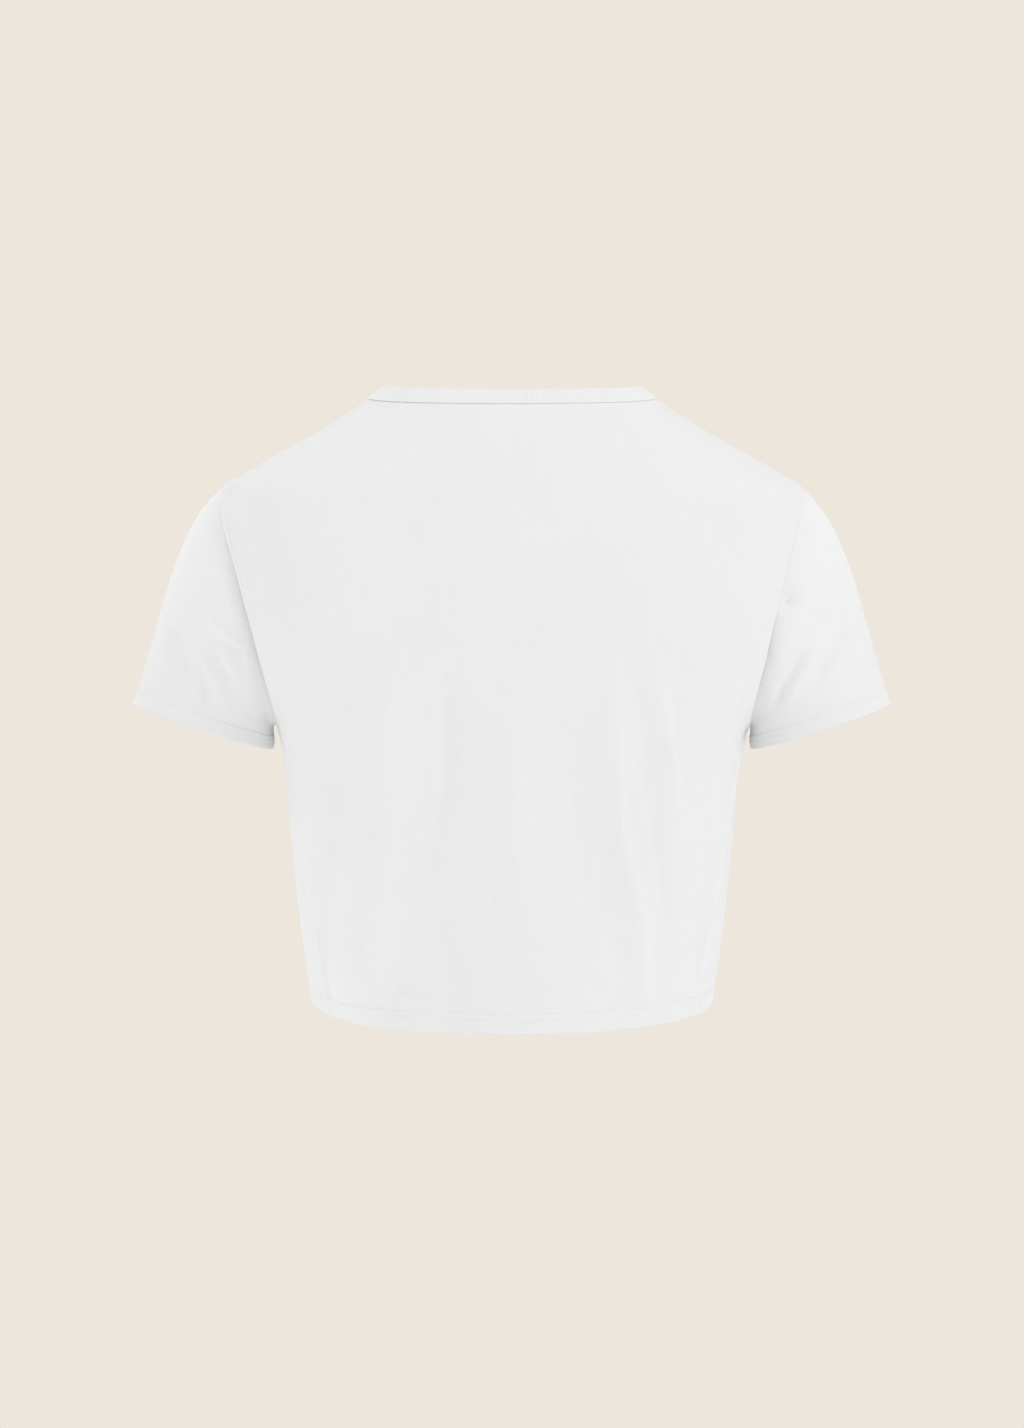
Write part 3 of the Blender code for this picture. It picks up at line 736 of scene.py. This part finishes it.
def shellObject(name, grid, normals, thickness, turn):
    # two layers of cloth joined all round, with a rounded edge on the open row
    points, weave = grid["points"], grid["weave"]
    closed = "round" in grid
    openRow, inside = (-1, -2) if closed else (0, 1)
    away = unit(points[openRow] - points[inside]) * thickness[openRow][:, None]
    half = normals * thickness[..., None] / 2
    count = points.shape[0] * points.shape[1]
    vertices = [
        (points + half).reshape(-1, 3),
        (points - half).reshape(-1, 3),
        points[openRow] + away * clothFinish["roundEdge"],
    ]
    places = np.arange(count).reshape(points.shape[:2])
    rim = 2 * count + np.arange(points.shape[1])
    if closed:
        places = np.concatenate([places, places[:, :1]], axis=1)
        rim = np.append(rim, rim[0])
        weave = np.concatenate([weave, weave[:, :1] + (grid["round"], 0)], axis=1)
    faces, coords = [], []

    def corners(first, second):
        return np.stack([first[:-1], first[1:], second[1:], second[:-1]], axis=1)

    def addStrip(first, second, firstWeave, secondWeave):
        faces.extend(corners(first, second).tolist())
        coords.append(corners(firstWeave, secondWeave).reshape(-1, 2))

    for row in range(len(places) - 1):
        addStrip(places[row], places[row + 1], weave[row], weave[row + 1])
        addStrip(places[row + 1] + count, places[row] + count, weave[row + 1], weave[row])
    # the edges run anticlockwise round the outer layer
    edges = [(places[0], weave[0]), (places[-1, ::-1], weave[-1, ::-1])]
    if not closed:
        edges += [(places[:, -1], weave[:, -1]), (places[::-1, 0], weave[::-1, 0])]
    openEdge, openWeave = edges.pop(1 if closed else 0)
    for edge, along in edges:
        addStrip(edge + count, edge, along, along)
    rim = rim[::-1] if closed else rim
    addStrip(rim, openEdge, openWeave, openWeave)
    addStrip(openEdge + count, rim, openWeave, openWeave)
    if not closed:
        faces.append([openEdge[-1], rim[-1], openEdge[-1] + count])
        faces.append([openEdge[0], openEdge[0] + count, rim[0]])
        coords.append(np.repeat(openWeave[[-1, 0]], 3, axis=0))
    coords = np.concatenate(coords)
    if turn < 0:
        starts = np.cumsum([0] + [len(face) for face in faces])
        order = [np.arange(end - 1, start - 1, -1) for start, end in zip(starts, starts[1:])]
        coords = coords[np.concatenate(order)]
        faces = [face[::-1] for face in faces]
    mesh = bpy.data.meshes.new(name)
    mesh.from_pydata(np.concatenate(vertices).tolist(), [], faces)
    mesh.uv_layers.new(name="weave").data.foreach_set("uv", coords.reshape(-1).astype(np.float32))
    mesh.shade_smooth()
    mesh.set_sharp_from_angle(angle=clothFinish["sharpAbove"])
    return linkedObject(name, mesh)


def finishedPiece(piece, node=None):
    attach(piece, "root")
    if node:
        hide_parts(node)
    return piece


back = panelGrid(1, backCreases)
front = panelGrid(-1, frontCreases)
loop, loopDegrees = sleeveLoop((front, back))
leftSleeve = sleeveGrid(loop, loopDegrees, leftSleeveCreases)
rightSleeve = sleeveGrid(loop, loopDegrees, rightSleeveCreases)
rightSleeve["points"] = rightSleeve["points"] * (-1, 1, 1)
rightSleeve["weave"] = rightSleeve["weave"] * (-1, 1)
rightSleeve["round"] *= -1
neckband = neckbandGrid(neckLoop(front, back))
print("cloth laid out")

grids = {
    "back": back,
    "front": front,
    "sleeve_left": leftSleeve,
    "sleeve_right": rightSleeve,
    "neckband": neckband,
}
# sign that turns each grid's own normals out of the body
clothTurns = {"back": -1, "front": 1, "sleeve_left": -1, "sleeve_right": 1, "neckband": -1}


def clothNormals():
    # outward normals of every grid, the same on both sides of a seam
    normals, edges = {}, []
    for name, grid in grids.items():
        normals[name] = gridNormals(grid["points"], "round" in grid) * clothTurns[name]
    for name in ("back", "front"):
        for cut in ((slice(None), 0), (slice(None), -1), (-1, slice(1, -1))):
            edges.append((grids[name]["points"][cut], normals[name][cut]))
    for name in ("sleeve_left", "sleeve_right"):
        edges.append((grids[name]["points"][0], normals[name][0]))
    shareNormals(edges)
    return normals


def rollShift(away):
    # how far the cloth moves towards the armhole's edge where it tucks
    finish = seamFinish
    rolled = finish["rollOut"] * hump(away - finish["rollPlace"], finish["rollWidth"])
    return rolled - finish["drawIn"] * hump(away, finish["drawWidth"])


def dressPanel(name):
    # the cloth turns in at each seam, and under the body's edge at the arm
    grid, finish = grids[name], seamFinish
    points, outward = grid["points"], normals[name]
    middle, span = points.shape[1] // 2, finish["edgeSpan"]
    width, fade = finish["grooveWidth"], finish["endFade"]
    below = np.arange(len(points)) < grid["firstArmRow"]
    grid["edgeWay"] = {}
    moved = points.copy()
    for half, edge, near, sideName in (
        (slice(middle, None), -1, -1 - span, "left"),
        (slice(None, middle), 0, span, "right"),
    ):
        tuck, rise, groove = readTable(finish[sideName], grid["degrees"])
        backRise, frontRise, seamGroove = readTable(finish[sideName + "Side"], grid["edgeHeight"])
        seamRise = backRise if name == "back" else frontRise
        tuck, rise = np.where(below, 0, tuck)[:, None], np.where(below, seamRise, rise)[:, None]
        groove = np.where(below, seamGroove, groove)[:, None]
        riseWidth = np.where(below, finish["sideRise"], finish["armRise"])[:, None]
        way = points[:, edge] - points[:, near]
        way = unit(way - (way * outward[:, edge]).sum(axis=-1, keepdims=True) * outward[:, edge])
        grid["edgeWay"][sideName] = way
        away, fromTop = grid["fromSide"][:, half], grid["fromTop"][:, half]
        atNeck = abs(np.arange(points.shape[1])[half] - middle) <= panelMesh["neckColumns"]
        neckGroove = finish["neckGroove"] + finish["neckGrooveLean"] * points[:, half, 0]
        topGroove = np.where(atNeck, neckGroove, finish["shoulderGroove"] * softStep(away / fade))
        lift = -np.maximum(groove * hump(away, width), topGroove * hump(fromTop, width))
        lift -= tuck * finish["tuckDepth"] * hump(away, finish["tuckWidth"])
        rise = rise * (1 - hump(away, finish["riseFrom"])) * hump(away, riseWidth)
        lift += rise * softStep(fromTop / fade)
        shift = tuck * rollShift(away)
        moved[:, half] += outward[:, half] * lift[..., None] + way[:, None] * shift[..., None]
    grid["points"] = moved


def dressSleeve(name, sideName):
    grid, finish = grids[name], seamFinish
    tuck, _, groove = readTable(finish[sideName], grid["degrees"])
    start = front["firstArmRow"]
    ways = [panel["edgeWay"][sideName][start:] for panel in (front, back)]
    way = np.concatenate([ways[0], ways[1][::-1][1:-1]])
    away = grid["fromSeam"]
    lift = -tuck * finish["tuckDepth"] * hump(away, finish["sleeveTuckWidth"])
    lift = lift - groove * hump(away, finish["grooveWidth"])
    shift = tuck * rollShift(0.0) * hump(away, finish["sleeveDrawWidth"])
    grid["points"] = grid["points"] + normals[name] * lift[..., None] + way * shift[..., None]


normals = clothNormals()
for name in ("back", "front"):
    dressPanel(name)
dressSleeve("sleeve_left", "left")
dressSleeve("sleeve_right", "right")
normals = clothNormals()


def clothThickness(name):
    grid = grids[name]
    if name == "neckband":
        return np.full(grid["points"].shape[:2], neckbandCut["cloth"])
    hem = cuffFinish if name.startswith("sleeve") else hemFinish
    plain, step = clothFinish["jersey"], clothFinish["hemStep"]
    turned = softStep((hem["height"] + step / 2 - grid["fromHem"]) / step)
    return plain + (hem["cloth"] - plain) * turned


pieces = {}
for name, grid in grids.items():
    pieces[name] = shellObject(
        "cloth_" + name, grid, normals[name], clothThickness(name), clothTurns[name]
    )
    finishedPiece(pieces[name], name)
print("cloth made")


stitchFinish = {
    "pitch": 0.0030,
    "long": 0.0025,
    "thick": 0.00042,
    "proud": 0.10,  # of its thickness
    "inside": 0.00034,
    "insideProud": 0.4,
    "straight": 0.5,  # of a stitch's length
    # how each end dives in: further along, down, and how much narrower
    "ends": ((0.17, -0.16, 0.7), (0.08, -0.26, 0.4)),
}


def threadStitch(finish):
    # one stitch lies along X, a unit long and a unit thick, tapered where it dives in
    bpy.ops.object.select_all(action="DESELECT")
    bpy.ops.mesh.primitive_cylinder_add(
        vertices=6, radius=0.5, depth=finish["straight"], end_fill_type="NOTHING"
    )
    stitch = bpy.context.object
    bpy.ops.object.mode_set(mode="EDIT")
    bpy.ops.mesh.select_all(action="SELECT")
    bpy.ops.transform.rotate(value=math.pi / 2, orient_axis="Y", center_override=(0, 0, 0))
    bpy.ops.mesh.select_all(action="DESELECT")
    bpy.ops.object.mode_set(mode="OBJECT")
    for end in (-1, 1):
        for vertex in stitch.data.vertices:
            vertex.select = vertex.co.x * end > 0
        bpy.ops.object.mode_set(mode="EDIT")
        bpy.ops.mesh.select_mode(type="VERT")
        for out, down, narrow in finish["ends"]:
            move = {"value": (out * end, 0, down)}
            bpy.ops.mesh.extrude_region_move(TRANSFORM_OT_translate=move)
            bpy.ops.transform.resize(value=(1, narrow, narrow))
        bpy.ops.mesh.edge_face_add()
        bpy.ops.mesh.select_all(action="DESELECT")
        bpy.ops.object.mode_set(mode="OBJECT")
    bpy.ops.object.mode_set(mode="EDIT")
    bpy.ops.mesh.select_all(action="SELECT")
    bpy.ops.mesh.normals_make_consistent(inside=False)
    bpy.ops.object.mode_set(mode="OBJECT")
    places = np.array([vertex.co[:] for vertex in stitch.data.vertices])
    # sorted, because extrude lists its faces in another order on each run
    faces = sorted(list(face.vertices) for face in stitch.data.polygons)
    bpy.data.objects.remove(stitch, do_unlink=True)
    return places, faces


stitchPlaces, stitchFaces = threadStitch(stitchFinish)


def loopReader(line, normals):
    # places on a closed line and the normals there, by distance round it
    values = np.hstack([line, normals])
    values = np.concatenate([values, values[:1]])
    walked = walkAlong(values[:, :3])

    def read(places):
        found = readAlong(values, walked, np.mod(places, walked[-1]))
        return found[:, :3], found[:, 3:]

    return read, walked[-1]


def laidStitches(starts, ends, ups, thick):
    # a copy of the stitch between each start and end
    along = ends - starts
    side = unit(np.cross(ups, along))
    up = np.cross(unit(along), side)
    middle = (starts + ends) / 2
    copies = (
        middle[:, None]
        + stitchPlaces[None, :, 0:1] * along[:, None]
        + stitchPlaces[None, :, 1:2] * side[:, None] * thick
        + stitchPlaces[None, :, 2:3] * up[:, None] * thick
    )
    return copies.reshape(-1, 3)


def threadObject(name, parts):
    places, count = np.concatenate(parts), len(stitchPlaces)
    faces = [
        [index + start for index in face]
        for start in range(0, len(places), count)
        for face in stitchFaces
    ]
    mesh = bpy.data.meshes.new(name)
    mesh.from_pydata(places.tolist(), [], faces)
    mesh.shade_smooth()
    return finishedPiece(linkedObject(name, mesh))


def clothRow(name, row):
    # one row's places, normals and half thickness
    half = clothThickness(name)[row][:, None] / 2
    return grids[name]["points"][row], normals[name][row], half


def stitchRow(hem, height):
    return int(np.argmin(abs(np.array(hem["rows"]) - height)))


def hemRing(height):
    # round the whole hem at this height over its edge
    row = stitchRow(hemFinish, height)
    rows = zip(clothRow("back", row), clothRow("front", row))
    return [np.concatenate([first, second[::-1][1:-1]]) for first, second in rows]


def cuffRing(name, height):
    return clothRow(name, -1 - stitchRow(cuffFinish, height))


def twinNeedle(name, rings):
    # two rows of stitches outside, and the loop thread that crosses between them inside
    finish = stitchFinish
    parts, insides, sides = [], [], []
    for points, outward, half in rings:
        read, whole = loopReader(points + outward * half, outward)
        count = int(round(whole / finish["pitch"]))
        pitch = whole / count
        wanted = np.arange(count) * whole / count
        starts = read(wanted)[0]
        ends = read(wanted + finish["long"] / finish["pitch"] * pitch)[0]
        ups = unit(read(wanted + pitch / 2)[1])
        lifted = ups * finish["thick"] * finish["proud"]
        parts.append(laidStitches(starts + lifted, ends + lifted, ups, finish["thick"]))
        insides.append(loopReader(points - outward * half, outward))
        sides.append(-ups)
    count = min(len(ups) for ups in sides)
    ups = sides[0][:count]
    lift = ups * finish["inside"] * finish["insideProud"]

    def crossing(inside, steps):
        read, whole = inside
        return read((np.arange(count) / count + steps / count) * whole)[0] + lift

    low, high = insides
    middle = crossing(high, 0.5)
    parts.append(laidStitches(crossing(low, 0.0), middle, ups, finish["inside"]))
    parts.append(laidStitches(middle, crossing(low, 1.0), ups, finish["inside"]))
    return threadObject(name, parts)


threads = [twinNeedle("hem_stitches", [hemRing(height) for height in hemFinish["stitchRows"]])]
for name in ("sleeve_left", "sleeve_right"):
    rings = [cuffRing(name, height) for height in cuffFinish["stitchRows"]]
    threads.append(twinNeedle(name + "_stitches", rings))
print("stitches laid")


jerseyLook = {
    "colour": (0.860, 0.860, 0.862),
    # the darker end of the colour: painted shade in the knit's valleys, and the greyer yarn of the
    # streaks and cloud
    "shade": (0.800, 0.800, 0.804),
    "wale": 0.00078,
    "course": 0.00060,
    "slant": 0.5,  # of a course, up each leg of a loop
    "loops": 0.3,  # how much the loops break up the relief of the wales
    "knitDepth": 0.00010,
    "streakDepth": 0.00012,
    "slubDepth": 1.2,  # of the streaks' depth
    # uneven yarn: scale across, scale up the cloth, detail, roughness
    "streak": (620.0, 34.0, 3.0, 0.6),
    "slub": (90.0, 60.0, 4.0, 0.6),
    "cloud": (14.0, 11.0, 2.0, 0.5),
    # what knit, streaks and cloud each add to the colour, from shade to full: the knit's share is
    # painted shade in the valleys between its loops, the streaks' and cloud's are uneven yarn tone
    "shadeAndTone": (0.35, 0.45, 0.55),
    "roughness": 0.88,
    "roughSpread": 0.10,
    "sheen": 0.12,
    "sheenRoughness": 0.6,
    "specular": 0.25,
}

ribLook = dict(
    jerseyLook, colour=(0.862, 0.862, 0.864), wale=0.00085, course=0.00065, streakDepth=0.00006
)

threadLook = {
    "colour": (0.870, 0.870, 0.872),
    "shade": 0.93,
    "roughness": 0.55,
    "sheen": 0.1,
    "twist": 900.0,
    "twistDetail": 2.0,
    "twistDepth": 0.00008,
}


def newMaterial(name):
    material = bpy.data.materials.new(name)
    material.use_nodes = True
    return material, material.node_tree


def fillNode(tree, node, inputs):
    # each input is set to a value, or linked to another node's output
    for name, value in inputs.items():
        if isinstance(value, bpy.types.NodeSocket):
            tree.links.new(value, node.inputs[name])
        else:
            node.inputs[name].default_value = value


def addNode(tree, kind, inputs):
    node = tree.nodes.new("ShaderNode" + kind)
    fillNode(tree, node, inputs)
    return node


def clothMaterial(name, look):
    material, tree = newMaterial(name)
    weave = tree.nodes.new("ShaderNodeUVMap")
    weave.uv_map = "weave"
    split = addNode(tree, "SeparateXYZ", {0: weave.outputs["UV"]})

    def maths(operation, *values):
        node = tree.nodes.new("ShaderNodeMath")
        node.operation = operation
        fillNode(tree, node, dict(enumerate(values)))
        return node.outputs[0]

    def noise(across, up, detail, rough):
        inputs = {"Vector": weave.outputs["UV"], "Scale": (across, up, 1.0)}
        place = addNode(tree, "Mapping", inputs).outputs[0]
        inputs = {"Vector": place, "Scale": 1.0, "Detail": detail, "Roughness": rough}
        return addNode(tree, "TexNoise", inputs).outputs["Fac"]

    # each wale is two legs that lean together into a column of Vs
    across = maths("MULTIPLY", split.outputs["X"], 1 / look["wale"])
    up = maths("MULTIPLY", split.outputs["Y"], 1 / look["course"])
    leg = maths("MULTIPLY", maths("PINGPONG", across, 0.5), 2.0)
    legRound = maths("SINE", maths("MULTIPLY", leg, math.pi))
    slant = maths("ADD", up, maths("MULTIPLY", leg, look["slant"]))
    loops = maths("SINE", maths("MULTIPLY", slant, 2 * math.pi))
    loops = maths("ADD", maths("MULTIPLY", loops, look["loops"]), 1 - look["loops"])
    knit = maths("MULTIPLY", legRound, loops)
    streak, slub, cloud = (noise(*look[part]) for part in ("streak", "slub", "cloud"))
    relief = {"Strength": 1.0, "Distance": look["knitDepth"], "Height": knit}
    relief = addNode(tree, "Bump", relief).outputs["Normal"]
    uneven = maths("ADD", streak, maths("MULTIPLY", slub, look["slubDepth"]))
    relief = {"Strength": 1.0, "Distance": look["streakDepth"], "Height": uneven, "Normal": relief}
    relief = addNode(tree, "Bump", relief).outputs["Normal"]
    # the valleys between loops get painted shade, and the thin streaks and the cloud are a little
    # greyer yarn
    shadeAndToneShares = zip((knit, streak, cloud), look["shadeAndTone"])
    paintedKnitShade, streakTint, cloudTint = (maths("MULTIPLY", part, shadeAndTone) for part, shadeAndTone in shadeAndToneShares)
    fullness = maths("ADD", maths("ADD", paintedKnitShade, streakTint), cloudTint)
    fullness = addNode(tree, "Clamp", {"Value": fullness}).outputs[0]
    # the mix puts the painted shade of the knit's valleys and the yarn's uneven tone into the base
    # colour
    mix = tree.nodes.new("ShaderNodeMix")
    mix.data_type = "RGBA"
    shade, colour = (*look["shade"], 1.0), (*look["colour"], 1.0)
    fillNode(tree, mix, {"Factor": fullness, "A": shade, "B": colour})
    rough = maths("MULTIPLY", slub, look["roughSpread"])
    rough = maths("ADD", rough, look["roughness"] - look["roughSpread"] / 2)
    inputs = {
        "Base Color": mix.outputs["Result"],
        "Roughness": rough,
        "Normal": relief,
        "Metallic": 0.0,
        "Sheen Weight": look["sheen"],
        "Sheen Roughness": look["sheenRoughness"],
        "Specular IOR Level": look["specular"],
    }
    fillNode(tree, tree.nodes["Principled BSDF"], inputs)
    return material


def threadMaterial(look):
    material, tree = newMaterial("sewing thread")
    place = tree.nodes.new("ShaderNodeTexCoord").outputs["Object"]
    inputs = {"Vector": place, "Scale": look["twist"], "Detail": look["twistDetail"]}
    twist = addNode(tree, "TexNoise", inputs).outputs["Fac"]
    bump = addNode(tree, "Bump", {"Distance": look["twistDepth"], "Height": twist})
    ramp = addNode(tree, "ValToRGB", {"Fac": twist})
    ramp.color_ramp.elements[0].color = (*(look["shade"] * value for value in look["colour"]), 1.0)
    ramp.color_ramp.elements[1].color = (*look["colour"], 1.0)
    inputs = {
        "Base Color": ramp.outputs["Color"],
        "Roughness": look["roughness"],
        "Normal": bump.outputs["Normal"],
        "Sheen Weight": look["sheen"],
    }
    fillNode(tree, tree.nodes["Principled BSDF"], inputs)
    return material


jersey = clothMaterial("jersey", jerseyLook)
rib = clothMaterial("rib", ribLook)
thread = threadMaterial(threadLook)
for name, piece in pieces.items():
    piece.data.materials.append(rib if name == "neckband" else jersey)
for piece in threads:
    piece.data.materials.append(thread)
print("materials set")


stageLook = {"colour": (0.8469, 0.7913, 0.7157), "radius": 6.0, "floor": -1.7}

lightPlan = {
    "sky": 0.925,
    "size": 2.2,
    "aim": (0, 0, -0.2),
    "lamps": (
        # name, place, power
        ("key", (-3.0, 1.5, 1.5), 27.0),
        ("side", (2.9, 1.2, 0.3), 10.0),
        ("back", (0.8, 3.0, 0.2), 2.5),
        ("low", (0.0, 0.1, -2.3), 8.0),
        ("front", (2.2, -2.2, 1.2), 14.0),
    ),
}

cameraPlan = {"place": (0.0, 2.45, 0.05), "aim": (0.0, 0.0, -0.211), "lens": 92.7, "sensor": 36.0}


def makeStage(look):
    bpy.ops.object.select_all(action="DESELECT")
    bpy.ops.mesh.primitive_uv_sphere_add(segments=96, ring_count=48, radius=look["radius"])
    sweep = bpy.context.object
    sweep.name = "sweep"
    for vertex in sweep.data.vertices:
        vertex.co.z = max(vertex.co.z, look["floor"])
    sweep.data.flip_normals()
    sweep.data.shade_smooth()
    material, tree = newMaterial("paper sweep")
    tree.nodes.clear()
    paper = addNode(tree, "Emission", {"Color": (*look["colour"], 1.0)})
    addNode(tree, "OutputMaterial", {"Surface": paper.outputs[0]})
    sweep.data.materials.append(material)
    sweep.visible_diffuse = False
    sweep.visible_glossy = False
    sweep.visible_transmission = False
    sweep.visible_shadow = False


def aimAt(thing, place, aim):
    thing.location = place
    toward = Vector(aim) - thing.location
    thing.rotation_euler = toward.to_track_quat("-Z", "Y").to_euler()


makeStage(stageLook)
world = bpy.data.worlds.new("soft room")
world.use_nodes = True
sky = world.node_tree.nodes["Background"]
sky.inputs["Color"].default_value = (1.0, 1.0, 1.0, 1.0)
sky.inputs["Strength"].default_value = lightPlan["sky"]
bpy.context.scene.world = world
for name, place, power in lightPlan["lamps"]:
    light = bpy.data.lights.new(name, "AREA")
    light.shape = "DISK"
    light.size = lightPlan["size"]
    light.energy = power
    aimAt(linkedObject(name, light), place, lightPlan["aim"])

camera = linkedObject("camera", bpy.data.cameras.new("camera"))
aimAt(camera, cameraPlan["place"], cameraPlan["aim"])
camera.data.lens = cameraPlan["lens"]
camera.data.sensor_width = cameraPlan["sensor"]
bpy.context.scene.camera = camera
bpy.context.scene.view_settings.view_transform = "Standard"
print("stage set")
